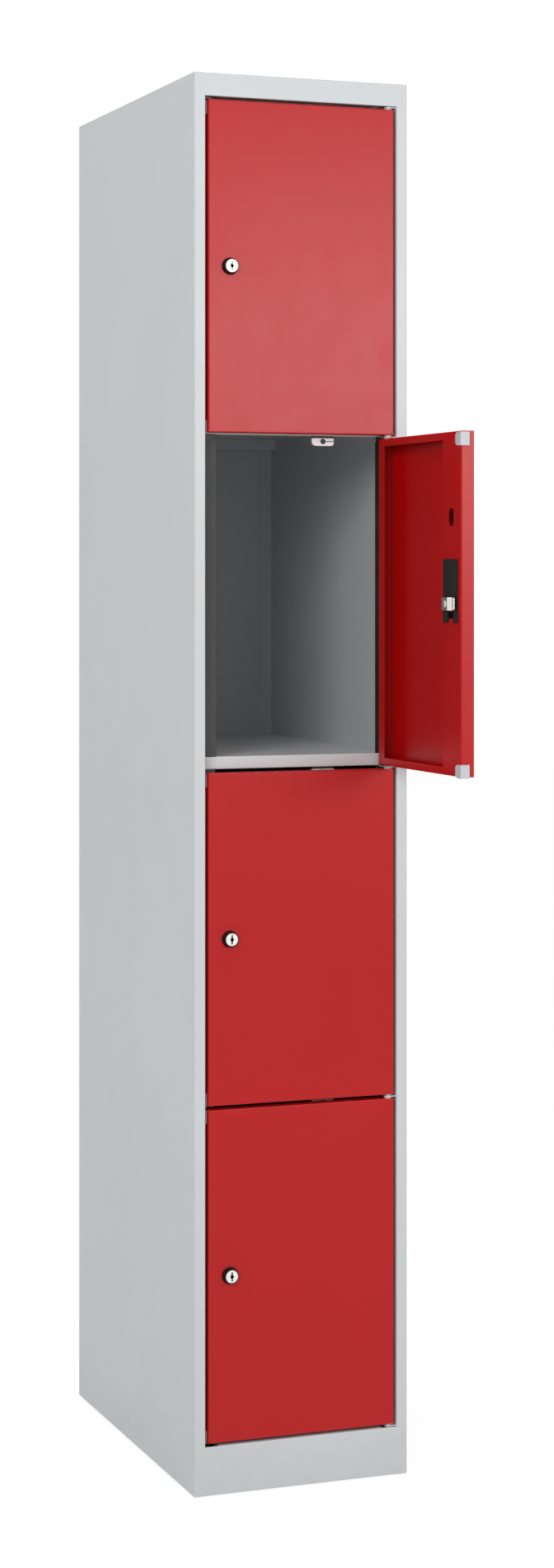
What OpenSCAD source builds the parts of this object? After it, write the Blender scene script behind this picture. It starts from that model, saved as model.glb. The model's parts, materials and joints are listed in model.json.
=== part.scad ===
// Steel compartment locker: one column, four doors, the second one standing open.
// Origin on the floor, below the middle of the cabinet's back. +X right, +Y back, +Z up.

/* [Cabinet] */
// Height of the cabinet, from the floor to the roof
cabinet_h = 1850; // [1650:10:2000]
// Width of the cabinet
cabinet_w = 300; // [290:5:400]
// Depth of the cabinet
cabinet_d = 500; // [400:10:600]
// Thickness of the cabinet sheet
sheet_t = 0.8; // [0.6:0.1:1]
// Inner radius of the folds in the sheet
fold_r = 0.6; // [0.3:0.1:0.9]
// Width of the front stile on each side of the opening
stile_w = 15; // [13:0.5:20]
// Height of the header above the opening
header_h = 30; // [26:1:50]
// Height of the plinth below the opening
plinth_h = 63; // [60:1:100]
// Gap between the plinth and the floor, where the feet show
floor_gap = 2; // [1:0.5:4]
// Width of the stop strips behind the edges of the doors
stop_w = 21; // [18:0.5:23]
// Width of the returns at the rear corners of the side panels
rear_return_w = 20; // [12:1:30]
// Depth of the leg that holds a stop strip on the stile's return
strip_leg = 14; // [10:0.5:17]
// Depth of the small flanges that stiffen the header, plinth and roof
edge_flange = 14; // [12:1:18]
// Depth of the plinth's upper return
plinth_return = 25; // [22:1:30]
// Length of the open corner on the lock side of the header and plinth returns
lock_corner = 19; // [17:1:21]
// Length of the open corner on the hinge side of the header return
top_hinge_corner = 28; // [24:1:30]
// Length of the open corner on the hinge side of the plinth return
low_hinge_corner = 20; // [20:1:28]
// Radius of the two wall fixing holes in the back panel
wall_hole_r = 4.5; // [3:0.5:6]
// Distance between the wall fixing holes
wall_hole_pitch = 200; // [150:5:220]
// Distance of the wall fixing holes below the roof
wall_hole_drop = 80; // [60:5:150]

/* [Shelves] */
// Height of the lip along the front of a shelf
shelf_lip = 16.5; // [14:0.5:18]
// Height of a shelf above the lower edge of its door
shelf_rise = 15; // [13:0.5:16]
// Depth of the flange under the front lip
shelf_return = 14; // [12:0.5:18]
// Depth of the boxed hem along the rear of a shelf
shelf_hem = 20; // [15:1:30]
// Gap between the upturned edge of the hem and the shelf above it
hem_gap = 0.2; // [0.1:0.1:1]
// Clearance round a shelf inside the cabinet
shelf_gap = 0.3; // [0.1:0.1:0.5]

/* [Doors] */
// Depth of a door, from its face to its inner lips
door_depth = 18; // [17:0.5:20]
// Thickness of the door sheet
door_t = 1; // [0.8:0.1:1.2]
// Gap between a door and the stiles
side_gap = 4; // [3.8:0.1:5]
// Gap between two doors
door_gap = 5; // [4.8:0.1:6]
// Gap above the top door and below the bottom door
end_gap = 4; // [3.6:0.1:5]
// Width of the inner lip on the hinge side
hinge_lip = 20; // [16:1:30]
// Width of the inner lips along the top and bottom
end_lip = 10; // [8:0.5:14]
// Width of the closed channel on the lock side
channel_w = 55; // [54:1:70]
// Width of the oblong hole in the channel
slot_w = 14.5; // [10:0.5:18]
// Length of the oblong hole in the channel
slot_l = 23; // [20:1:40]
// Height of the oblong hole above the lock
slot_rise = 109; // [90:1:150]
// Angle to which the second door stands open
open_angle = 90; // [30:5:105]

/* [Hinges] */
// Distance of the pivot from the hinge edge of a door
pivot_inset = 6; // [5.8:0.1:7]
// Distance of the pivot behind the face of a door
pivot_depth = 7; // [6:0.1:7.2]
// Least gap between a swinging door and what lies behind it
swing_gap = 0.5; // [0.4:0.1:1]
// Radius of a hinge pin
pin_r = 2.5; // [2:0.1:2.8]
// Running clearance of a bush on its pin
pin_clear = 0.05; // [0.02:0.01:0.08]
// Radius of the part of a bush that sits in the door
bush_r = 4; // [3.8:0.1:4.3]
// Radius of the flange of a bush
bush_flange_r = 4.8; // [4.5:0.1:5.2]
// Thickness of the flange of a bush
bush_flange_t = 1.7; // [1.5:0.1:1.8]
// Length of a bush below its flange
bush_l = 6; // [4:0.5:10]
// Thickness of a hinge plate
plate_t = 1; // [0.8:0.1:1.2]
// Radius of the head of the outer pins
pin_head_r = 4; // [3.5:0.1:4.5]
// Height of the head of an outer hinge pin
pin_head_t = 1; // [0.6:0.1:1.4]
// Margin between the edge of a hinge plate and the planes of the door and stile
plate_margin = 1; // [0.8:0.1:1.5]

/* [Seals and bumpers] */
// Thickness of the seals on the stop strips
seal_t = 1; // [0.8:0.1:1.2]
// Distance from the top of a door down to the end of its seals
seal_drop = 4; // [2:0.5:8]
// Radius of the lip of a seal
seal_r = 0.6; // [0.3:0.1:0.7]
// Height of a corner bumper
bumper_h = 17; // [14:0.5:20]
// Reach of a bumper over the inner side of a door
bumper_lip = 15; // [12:0.5:20]
// Reach of a bumper over the edge of a door
bumper_wrap = 11; // [9:0.5:14]
// Thickness of a bumper on the edge of a door
bumper_t = 1.3; // [1:0.1:1.6]
// Distance by which both bumpers sit below the ends of a door
bumper_drop = 1.4; // [1:0.1:1.8]
// Height of the rounded inner corners of a bumper
bumper_round_h = 5; // [2:0.5:6]
// Length of the rounded inner corners of a bumper
bumper_round_l = 9; // [4:0.5:11]
// Radius of the small edges of a bumper
bumper_edge_r = 0.5; // [0.2:0.1:0.6]
// Gap between a bumper and the seal that it meets
bumper_gap = 0.4; // [0.3:0.1:0.6]

/* [Locks] */
// Distance of the lock from the free edge of a door
lock_inset = 30; // [29:0.5:31]
// Radius of the bezel at the door
bezel_r = 11.4; // [11:0.1:13]
// Radius of the bezel at its front
bezel_front_r = 9.3; // [9.1:0.1:10.5]
// Height of the bezel in front of the door
bezel_h = 7.5; // [6:0.5:8]
// Radius of the barrel behind the bezel
barrel_r = 9; // [8.8:0.1:9.4]
// Radius of the keyed face of the plug
face_r = 8.4; // [8:0.1:8.5]
// Distance by which the face of the plug stands in front of the bezel
face_proud = 0.2; // [0:0.1:0.5]
// Length of the head of the plug
head_l = 4; // [3:0.5:5]
// Radius of the plug behind its head
plug_r = 5.5; // [5.2:0.1:6]
// Distance by which the plug stands out of the barrel at the cam
plug_proud = 1.3; // [0.5:0.1:2]
// Running clearance of the plug in the barrel
plug_clear = 0.05; // [0.02:0.01:0.08]
// Length of the key slot
key_l = 12; // [10:0.5:13]
// Width of the key slot
key_w = 2; // [1.5:0.1:2.5]
// Radius of the round middle of the keyhole
key_r = 2.5; // [2:0.1:3]
// Depth of the keyhole
key_depth = 6; // [5:0.5:12]
// Width of the cam
cam_w = 16.5; // [15:0.5:17]
// Thickness of the cam
cam_t = 1.5; // [1.2:0.1:2]
// Reach of the cam from the axis of the lock
cam_reach = 19; // [18:0.2:24]
// Distance by which the cam is cranked back towards the door
cam_crank = 3.9; // [3.4:0.1:5]
// Run of the crank for each millimetre that it rises
cam_slope = 1.3; // [1.1:0.05:1.6]
// Gap between the thrown cam and the stop strip that it hooks behind
cam_gap = 0.4; // [0.3:0.1:0.6]
// Inner radius of the bends of the cam
cam_fold_r = 1; // [0.6:0.1:1.4]
// Side of the square on which the cam sits
square_w = 7; // [6:0.1:7.2]
// Radius of the screw head on the cam
screw_head_r = 4.8; // [4.6:0.1:6]
// Height of the screw head on the cam
screw_head_h = 1.8; // [1.5:0.1:2]
// Width of the cross slot in the screw head
screw_slot_w = 1; // [0.8:0.1:1.4]
// Length of the cross slot in the screw head
screw_slot_l = 5.2; // [4:0.1:6]
// Depth of the cross slot in the screw head
screw_slot_h = 1; // [0.6:0.1:1.2]
// Radius of the screw that holds the cam
screw_r = 2; // [1.6:0.1:2.2]
// Length of the screw in the square
screw_l = 7; // [5:0.5:9]
// Height of the lock case above the axis of the lock
case_up = 56; // [40:1:70]
// Depth of the lock case below the axis of the lock
case_down = 24; // [23:0.5:30]
// Distance of the lock case from the free edge of the door
case_edge = 9.5; // [9:0.5:11]
// Width of the lock case
case_w = 43; // [42:0.5:43]
// Height by which the lock case stands out of the channel
case_proud = 1.2; // [0.6:0.1:1.4]
// Radius of the upright edges of the case's outline
case_r = 0.8; // [0.4:0.1:1.5]
// Width of the fork at the foot of the lock case
fork_w = 15.6; // [13:0.2:18]
// Height of the fork at the foot of the lock case
fork_h = 13; // [10:0.5:13]
// Height of the tab of the channel that reaches into the fork
fork_tab_h = 5.6; // [4:0.2:8]

/* [Compartment clips] */
// Width of a clip under the front lip of a shelf
clip_w = 31; // [28:0.5:36]
// Height of a clip
clip_h = 10; // [9:0.5:12]
// Depth of a clip
clip_d = 4; // [3:0.5:12]
// Height of the dark pad between a clip and the shelf
clip_pad = 3; // [2:0.5:4]
// Distance of the clips to the right of the middle
clip_x = 38; // [0:1:60]
// Radius of the stud in the middle of a clip
clip_stud_r = 3.6; // [3:0.1:4]
// Distance by which a stud stands in front of its clip
clip_stud_proud = 0.5; // [0.2:0.1:1.5]
// Height of the slit
clip_slit_h = 1; // [0.6:0.1:2]
// Height of the slit and stud below the top of a clip
clip_slit_drop = 4.2; // [4.2:0.1:4.8]
// Radius of the lower left corner of a clip
clip_long_r = 6; // [3:0.5:7]
// Radius of the lower right corner of a clip
clip_short_r = 4; // [2:0.5:4]
// Distance by which the pad stands back from the outline of a clip
clip_pad_inset = 1; // [0.5:0.1:2]

/* [Feet] */
// Radius of a levelling foot
foot_r = 10; // [9:0.5:12]
// Height of the disc of a foot
foot_disc_h = 6; // [5:0.5:8]
// Chamfer round the top of the foot's disc
foot_chamfer = 1.5; // [0.5:0.1:2]
// Radius of the stud of a foot
stud_r = 5; // [4:0.5:6]
// Height of the top of the stud above the floor
stud_top = 42; // [40:1:48]
// Chamfer round the end of the foot's stud and round the disc's lower edge
stud_chamfer = 0.8; // [0.4:0.1:1.2]
// Radius over the corners of the hexagon for the key
hexagon_r = 2.5; // [2:0.1:3]
// Depth of the hexagon for the key
hexagon_h = 4; // [2:0.5:8]
// Distance of the feet from the side faces
foot_inset_x = 17.5; // [15:0.5:20]
// Distance of the feet from the front and rear faces
foot_inset_y = 16; // [14:0.5:20]
// Height of the brackets that carry the feet
bracket_z = 24; // [22:1:26]
// Size of the plate of a foot bracket
bracket_size = 36; // [34:1:45]
// Height of the flange of a foot bracket
bracket_flange = 26; // [20:1:30]
// Thickness of a foot bracket
bracket_t = 2; // [1.5:0.1:2.5]
// Radius of the nut under a foot bracket
nut_r = 8; // [7:0.5:9]
// Height of the nut under a foot bracket
nut_h = 9; // [6:0.5:10]

/* [Hidden] */
DOORS = [1, 2, 3, 4];
OPEN_DOOR = 2;
// Number of flats in each rounded fold
FOLD_STEPS = 4;
// Angle between the points of a long rounded corner
CORNER_STEP = 15;
// Facets of a full turn
$fn = 48;
// Gap between neighbouring parts that are assembled with room to spare
part_gap = 0.3;
// Clearance round a piece that is pressed or pushed into its hole
press_clear = 0.03;
// Broken edge of a turned or moulded piece
edge_break = 0.4;
// Corner radii of a cam at its tip and at its hub
cam_tip_round = 2;
cam_hub_round = 1.5;
// Gap between the flanges of the roof and the side panels
roof_gap = 0.1;
// Distance between the ends of the roof's rear flange and its side flanges
roof_flange_gap = 2;
// Overshoot of a cut past the face that it opens
cut = 1;

// Planes of the cabinet
front_y = -cabinet_d;
back_y = 0;
side_x = cabinet_w / 2;
inner_x = side_x - sheet_t;
open_x = side_x - stile_w;
open_lo = floor_gap + plinth_h;
open_hi = cabinet_h - header_h;
rear_return_y = back_y - sheet_t;
rear_inner_y = rear_return_y - sheet_t;
fold_out = fold_r + sheet_t;
fold_room = fold_r + 0.1;
butt_x = open_x + fold_out;

// Doors: their size and the circle that a swinging rear corner reaches
door_w = 2 * (open_x - side_gap);
edge_x = door_w / 2;
door_count = len(DOORS);
door_h = (open_hi - open_lo - 2 * end_gap - (door_count - 1) * door_gap) / door_count;
door_pitch = door_h + door_gap;
pivot_x = edge_x - pivot_inset;
pivot_y = front_y + pivot_depth;
swing_depth = pivot_depth + norm([pivot_inset, door_depth - pivot_depth]);

// The stop strips lie just behind that circle, with the seals and shelf lips on them
stop_depth = swing_depth + swing_gap + max(seal_t, sheet_t);
stop_y = front_y + stop_depth;
stop_x = open_x - stop_w;
lip_y = stop_y - sheet_t;
seal_y = stop_y - seal_t;

// Locks: depths are measured from the face of a door
lock_x = -edge_x + lock_inset;
lock_z = door_h / 2;
cam_tip_depth = stop_depth + sheet_t + cam_gap;
cam_hub_depth = cam_tip_depth + cam_crank;
barrel_back = cam_hub_depth - plug_proud;
cam_bend_in = cam_w / 2;
cam_bend_out = cam_bend_in + cam_slope * cam_crank;
case_front = door_t + part_gap;
case_window_gap = 0.2;

function door_z(n) = open_lo + end_gap + (door_count - n) * door_pitch;
function shelf_z(n) = door_z(n) + shelf_rise;
function opening_of(n) = n == OPEN_DOOR ? open_angle : 0;
function bolt_turn(n) = n == OPEN_DOOR ? 0 : 180;

// Outlines of folded sheet

function unit(v) = v / norm(v);
function left_of(v) = [-v[1], v[0]];
function turned(v, a) = [v[0] * cos(a) - v[1] * sin(a), v[0] * sin(a) + v[1] * cos(a)];
function turn_between(u, v) = atan2(u[0] * v[1] - u[1] * v[0], u[0] * v[0] + u[1] * v[1]);

// Points of an arc of radius r that rounds the corner c between the directions u and v
function corner_arc(c, u, v, r) =
    let (a = turn_between(u, v), s = sign(a), l = r * tan(abs(a) / 2),
         m = c - l * u + s * r * left_of(u))
    [for (k = [0 : FOLD_STEPS]) m - s * r * turned(left_of(u), a * k / FOLD_STEPS)];

// Closed loop of points p whose corners are rounded by the radii r
function round_loop(p, r) =
    let (n = len(p))
    [for (i = [0 : n - 1])
        let (u = unit(p[i] - p[(i + n - 1) % n]), v = unit(p[(i + 1) % n] - p[i]))
        each (r[i] > 0 ? corner_arc(p[i], u, v, r[i]) : [p[i]])];

// Rectangle between two corners with all its corners rounded by r
function round_box(low, high, r) =
    round_loop([low, [high[0], low[1]], high, [low[0], high[1]]], [r, r, r, r]);

// Line at the distance d to the left of a path, for a sheet that is t thick on that side
function sheet_line(path, d, t, r) =
    let (n = len(path))
    [for (i = [0 : n - 1])
        let (u = unit(path[max(i, 1)] - path[max(i, 1) - 1]),
             v = unit(path[min(i, n - 2) + 1] - path[min(i, n - 2)]),
             a = left_of(u), b = left_of(v),
             c = path[i] + d * (a + b) / (1 + a * b),
             bend = turn_between(u, v) > 0 ? r + max(0, t) - d : r + d - min(0, t))
        each (i == 0 || i == n - 1 ? [c] : corner_arc(c, u, v, bend))];

function reversed(p) = [for (i = [len(p) - 1 : -1 : 0]) p[i]];

// Outline of a sheet folded along a path; a negative t lays it to the right of the path
function sheet_outline(path, t, r = fold_r) =
    concat(sheet_line(path, 0, t, r), reversed(sheet_line(path, t, t, r)));

// Extrudes a shape drawn in Y and Z along X
module along_x(x0, x1) {
    translate([x0, 0, 0])
        rotate([90, 0, 90])
            linear_extrude(x1 - x0)
                children();
}

// Extrudes a shape drawn in X and Z along Y
module along_y(y0, y1) {
    translate([0, y1, 0])
        rotate([90, 0, 0])
            linear_extrude(y1 - y0)
                children();
}

// Extrudes a shape drawn in X and Y along Z
module along_z(z0, z1) {
    translate([0, 0, z0])
        linear_extrude(z1 - z0)
            children();
}

// Box between two corners
module block(low, high) {
    translate(low)
        cube(high - low);
}

// Two mirrored copies, left and right
module both_sides() {
    children();
    mirror([1, 0, 0])
        children();
}

// Cabinet body

// Side panel on the left: rear return, wall, front stile and its return. The return and its
// fold are cut away beside the header and the plinth, whose fronts butt against the stile
module side_panel() {
    path = [
        [-side_x + rear_return_w, rear_return_y],
        [-side_x, rear_return_y],
        [-side_x, front_y],
        [-open_x, front_y],
        [-open_x, stop_y - fold_room]];
    difference() {
        along_z(floor_gap, cabinet_h)
            polygon(sheet_outline(path, sheet_t));
        for (z = [[floor_gap - cut, open_lo], [open_hi, cabinet_h + cut]])
            block([-open_x - sheet_t - fold_room, front_y + sheet_t + fold_room, z[0]],
                  [-open_x + cut, stop_y, z[1]]);
        for (z = [[floor_gap - cut, open_lo - fold_out], [open_hi + fold_out, cabinet_h + cut]])
            block([-butt_x, front_y - cut, z[0]], [-open_x + cut, stop_y, z[1]]);
    }
}

// Stop strip on the left: an angle whose one leg lies on the back of the stile's return
module stop_strip() {
    path = [
        [-open_x - sheet_t, stop_y - strip_leg],
        [-open_x - sheet_t, stop_y],
        [-stop_x, stop_y]];
    along_z(open_lo + end_gap, open_hi - end_gap)
        polygon(sheet_outline(path, sheet_t));
}

module left_side_panel() {
    color("#bec5c6")
        side_panel();
}

module right_side_panel() {
    color("#bec5c6")
        mirror([1, 0, 0])
            side_panel();
}

module left_stop_strip() {
    color("#b4bbbc")
        stop_strip();
}

module right_stop_strip() {
    color("#b4bbbc")
        mirror([1, 0, 0])
            stop_strip();
}

// Back panel, laid on the rear returns, with the two holes for screws into a wall
module back_panel() {
    color("#b9c0c1")
        difference() {
            block([-side_x, rear_return_y, floor_gap], [side_x, back_y, cabinet_h]);
            for (x = [-wall_hole_pitch / 2, wall_hole_pitch / 2])
                translate([x, rear_return_y - cut, cabinet_h - wall_hole_drop])
                    rotate([-90, 0, 0])
                        cylinder(r = wall_hole_r, h = sheet_t + 2 * cut);
        }
}

// Roof sheet with flanges down its sides and rear, an ear over each front corner
// and its rear corners cut back from the returns
module roof_panel() {
    half_w = inner_x - roof_gap;
    low = max(cabinet_h - edge_flange, shelf_z(0) + part_gap);
    path = [[-half_w, low], [-half_w, cabinet_h], [half_w, cabinet_h], [half_w, low]];
    front = front_y + sheet_t + fold_room;
    behind_header = front_y + edge_flange + part_gap;
    between_returns = side_x - rear_return_w - part_gap;
    color("#c4cbcc") {
        difference() {
            along_y(front, rear_return_y)
                polygon(sheet_outline(path, -sheet_t));
            block([-butt_x - part_gap, front - cut, low - cut],
                  [butt_x + part_gap, behind_header, cabinet_h + cut]);
            both_sides()
                block([between_returns, rear_inner_y - fold_room, low - cut],
                      [side_x, back_y + cut, cabinet_h + cut]);
        }
        block([-half_w + roof_flange_gap, rear_inner_y - fold_room - sheet_t, low],
              [half_w - roof_flange_gap, rear_inner_y - fold_room, cabinet_h - sheet_t / 2]);
    }
}

// Header: upper flange, front and the return over the top door, open at its corners; the
// front is longer than the return and meets the stiles beyond their folds
module header_rail() {
    return_y = lip_y - part_gap;
    path = [
        [front_y + edge_flange, cabinet_h],
        [front_y, cabinet_h],
        [front_y, open_hi],
        [return_y, open_hi]];
    color("#d0d4d5")
        difference() {
            along_x(-butt_x, butt_x)
                polygon(sheet_outline(path, sheet_t));
            block([-open_x - cut, front_y + fold_out, open_hi - cut],
                  [-open_x + lock_corner, return_y + cut, open_hi + fold_out]);
            block([open_x - top_hinge_corner, front_y + fold_out, open_hi - cut],
                  [open_x + cut, return_y + cut, open_hi + fold_out]);
            both_sides()
                block([open_x, front_y - cut, open_hi - cut],
                      [butt_x + cut, return_y + cut, open_hi + fold_out]);
        }
}

// Plinth: lower flange, front and the return under the bottom door, joined as the header is
module plinth_rail() {
    return_y = front_y + plinth_return;
    path = [
        [front_y + edge_flange, floor_gap],
        [front_y, floor_gap],
        [front_y, open_lo],
        [return_y, open_lo],
        [return_y, open_lo - edge_flange]];
    deep = return_y + cut;
    color("#d0d4d5")
        difference() {
            along_x(-butt_x, butt_x)
                polygon(sheet_outline(path, -sheet_t));
            block([-butt_x - cut, front_y + fold_out, open_lo - edge_flange - cut],
                  [-open_x + lock_corner, deep, open_lo + cut]);
            block([open_x - low_hinge_corner, front_y + fold_out, open_lo - edge_flange - cut],
                  [butt_x + cut, deep, open_lo + cut]);
            both_sides()
                block([open_x, front_y - cut, open_lo - fold_out],
                      [butt_x + cut, deep, open_lo + cut]);
            for (x = [-1, 1])
                translate([x * (side_x - foot_inset_x), front_y + foot_inset_y, floor_gap - cut])
                    cylinder(r = foot_r + 2 * part_gap, h = sheet_t + 2 * cut);
        }
}

// Shelf number n, the floor of compartment n; number 0 closes the top compartment.
// One sheet: flange and lip at the front, plate, boxed hem at the rear, flanges at the sides
module shelf(n) {
    z = shelf_z(n);
    half_w = inner_x - shelf_gap;
    rear_y = rear_inner_y - shelf_gap;
    path = [
        [lip_y + shelf_return, z - shelf_lip],
        [lip_y, z - shelf_lip],
        [lip_y, z],
        [rear_y, z],
        [rear_y, z - shelf_lip],
        [rear_y - shelf_hem, z - shelf_lip],
        [rear_y - shelf_hem, z - sheet_t - hem_gap]];
    behind_stop = stop_y + sheet_t + part_gap;
    flange_front = behind_stop + shelf_return;
    color("#c0c7c8") {
        difference() {
            along_x(-half_w, half_w)
                polygon(sheet_outline(path, -sheet_t));
            both_sides() {
                block([open_x - part_gap, lip_y - cut, z - shelf_lip - cut],
                      [half_w + cut, behind_stop, z + cut]);
                block([stop_x - part_gap, stop_y, z - shelf_lip - cut],
                      [half_w + cut, behind_stop, z + cut]);
            }
        }
        both_sides()
            block([half_w - sheet_t, flange_front, z - shelf_lip],
                  [half_w, rear_y - shelf_hem - cut, z - sheet_t / 2]);
    }
}

// Black seal on the right stop strip of each compartment, wrapped round the strip's edge
module hinge_side_seal(n) {
    low = shelf_z(n);
    high = door_z(n) + door_h - seal_drop;
    outline = [
        [open_x - part_gap, stop_y],
        [stop_x, stop_y],
        [stop_x, stop_y + sheet_t],
        [stop_x - seal_t, stop_y + sheet_t],
        [stop_x - seal_t, seal_y],
        [open_x - part_gap, seal_y]];
    along_z(low, high)
        polygon(round_loop(outline, [0, 0, seal_r / 2, seal_r / 2, seal_r, seal_r / 2]));
}

module hinge_side_seals() {
    color("#1e1e1c")
        for (n = DOORS)
            hinge_side_seal(n);
}

module lock_side_seals() {
    color("#1e1e1c")
        mirror([1, 0, 0])
            for (n = DOORS)
                hinge_side_seal(n);
}

// White clip under the front lip of each compartment's ceiling, with a slit to its right
module compartment_clip(n) {
    top = shelf_z(n - 1) - shelf_lip - clip_pad;
    low = top - clip_h;
    x0 = clip_x - clip_w / 2;
    x1 = clip_x + clip_w / 2;
    front = stop_y + part_gap;
    slit_z = top - clip_slit_drop;
    difference() {
        along_y(front, front + clip_d)
            polygon(round_loop([[x0, low], [x1, low], [x1, top], [x0, top]],
                               [clip_long_r, clip_short_r, edge_break, edge_break]));
        translate([clip_x, front - cut, slit_z])
            rotate([-90, 0, 0])
                cylinder(r = clip_stud_r + plug_clear, h = clip_d + 2 * cut);
        block([clip_x, front - cut, slit_z - clip_slit_h / 2],
              [x1 + cut, front + clip_d + cut, slit_z + clip_slit_h / 2]);
    }
}

module compartment_clips() {
    color("#f4f5f4")
        for (n = DOORS)
            compartment_clip(n);
}

// Black stud through each clip, with the pad that sits between clip and shelf
module clip_stud(n) {
    top = shelf_z(n - 1) - shelf_lip;
    low = top - clip_pad;
    front = stop_y + part_gap;
    reach = clip_w / 2 - clip_pad_inset;
    block([clip_x - reach, front + clip_pad_inset, low], [clip_x + reach, front + clip_d, top]);
    translate([clip_x, front - clip_stud_proud, low - clip_slit_drop])
        rotate([-90, 0, 0])
            cylinder(r = clip_stud_r, h = clip_d + clip_stud_proud);
}

module clip_studs() {
    color("#23241f")
        for (n = DOORS)
            clip_stud(n);
}

// Hinges

// Heights of the five hinge plates, the first over the top door
function plate_z(k) =
    k == 0 ? door_z(1) + door_h + bush_flange_t + plate_gap()
    : k == door_count ? door_z(door_count) - bush_flange_t - plate_gap() - plate_t
    : door_z(k) - door_gap / 2 - plate_t / 2;
function plate_gap() = (door_gap - plate_t) / 2 - bush_flange_t;

module hinge_plate() {
    difference() {
        union() {
            translate([pivot_x, pivot_y, 0])
                cylinder(r = pivot_depth - plate_margin, h = plate_t);
            block([pivot_x, pivot_y - pivot_depth + plate_margin, 0], [open_x, lip_y - part_gap, plate_t]);
            block([pivot_x - pivot_depth + plate_margin, pivot_y, 0], [open_x, lip_y - part_gap, plate_t]);
        }
        translate([pivot_x, pivot_y, -cut])
            cylinder(r = pin_r + press_clear, h = plate_t + 2 * cut);
    }
}

module hinge_plates() {
    color("#9aa0a1")
        for (k = [0 : door_count])
            translate([0, 0, plate_z(k)])
                hinge_plate();
}

// Pins of the outer plates have a head and reach one way, the others reach both ways
module hinge_pins() {
    reach = bush_flange_t + plate_gap() + bush_l - part_gap;
    color("#c9cac8")
        translate([pivot_x, pivot_y, 0]) {
            for (k = [1 : door_count - 1])
                translate([0, 0, plate_z(k) - reach])
                    cylinder(r = pin_r, h = 2 * reach + plate_t);
            translate([0, 0, plate_z(0) - reach])
                cylinder(r = pin_r, h = reach + plate_t);
            translate([0, 0, plate_z(0) + plate_t])
                cylinder(r = pin_head_r, h = pin_head_t);
            translate([0, 0, plate_z(door_count)])
                cylinder(r = pin_r, h = reach + plate_t);
            translate([0, 0, plate_z(door_count) - pin_head_t])
                cylinder(r = pin_head_r, h = pin_head_t);
        }
}

// Doors. Each is drawn closed, with Z from its lower edge, and then swung open

module at_door(n) {
    translate([pivot_x, pivot_y, door_z(n)])
        rotate([0, 0, opening_of(n)])
            translate([-pivot_x, -pivot_y, 0])
                children();
}

// Solid block of a door, drawn in from all its faces, with rounded edges
module door_block(inset, r) {
    low = [-edge_x + inset, front_y + inset];
    high = [edge_x - inset, front_y + door_depth - inset];
    intersection() {
        along_z(inset, door_h - inset)
            polygon(round_box(low, high, r));
        along_x(low[0], high[0])
            polygon(round_box([low[1], inset], [high[1], door_h - inset], r));
    }
}

// Outline of the opening for the lock case, with the tab that reaches into its fork
function case_window() =
    let (x0 = -edge_x + case_edge - case_window_gap,
         x1 = -edge_x + case_edge + case_w + case_window_gap,
         z0 = lock_z - case_down - case_window_gap,
         z1 = lock_z + case_up + case_window_gap,
         tab = fork_w / 2 - part_gap)
    [[x0, z0], [lock_x - tab, z0], [lock_x - tab, z0 + fork_tab_h],
     [lock_x + tab, z0 + fork_tab_h], [lock_x + tab, z0], [x1, z0], [x1, z1], [x0, z1]];

// Door tray: face, four edges, inner lips and the closed channel on the lock side
module door_skin(n) {
    inner_y = front_y + door_depth - door_t;
    channel_x = -edge_x + channel_w;
    color("#b32a2c")
        at_door(n)
            difference() {
                union() {
                    difference() {
                        door_block(0, fold_r + door_t);
                        door_block(door_t, fold_r);
                        block([channel_x, inner_y - cut, end_lip],
                              [edge_x - hinge_lip, inner_y + door_t + cut, door_h - end_lip]);
                    }
                    block([channel_x - door_t, front_y + door_t / 2, door_t / 2],
                          [channel_x, inner_y + door_t, door_h - door_t / 2]);
                }
                along_y(inner_y - 0.5, inner_y + door_t + cut)
                    polygon(case_window());
                along_y(inner_y - 0.5, inner_y + door_t + cut)
                    polygon(slot_outline());
                translate([lock_x, front_y - cut, lock_z])
                    rotate([-90, 0, 0])
                        cylinder(r = barrel_r + part_gap, h = door_t + 1.5 * cut);
                for (z = [-cut, door_h - door_t - cut / 2])
                    translate([pivot_x, pivot_y, z])
                        cylinder(r = bush_r + press_clear, h = door_t + 1.5 * cut);
            }
}

// Oblong hole above the lock case
function slot_outline() =
    let (r = slot_w / 2, run = slot_l / 2 - r, z = lock_z + slot_rise)
    concat(
        [for (a = [0 : 15 : 180]) [lock_x + r * cos(a), z + run + r * sin(a)]],
        [for (a = [180 : 15 : 360]) [lock_x + r * cos(a), z - run + r * sin(a)]]);

// White bushes in the top and bottom edges of a door, flanges outwards
module door_hinge_bushes(n) {
    color("#eceeed")
        at_door(n)
            translate([pivot_x, pivot_y, 0]) {
                hinge_bush();
                translate([0, 0, door_h])
                    mirror([0, 0, 1])
                        hinge_bush();
            }
}

module hinge_bush() {
    bore = pin_r + pin_clear;
    rotate_extrude()
        polygon([
            [bore, -bush_flange_t],
            [bush_flange_r - edge_break, -bush_flange_t],
            [bush_flange_r, -bush_flange_t + edge_break],
            [bush_flange_r, 0],
            [bush_r, 0],
            [bush_r, bush_l],
            [bore, bush_l]]);
}

// Grey bumpers on the two corners of the free edge: a pad on the inner side and one on the edge
module door_corner_bumpers(n) {
    color("#cdcfd0")
        at_door(n) {
            corner_bumper(-bumper_drop);
            corner_bumper(door_h - bumper_drop - bumper_h);
        }
}

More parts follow.
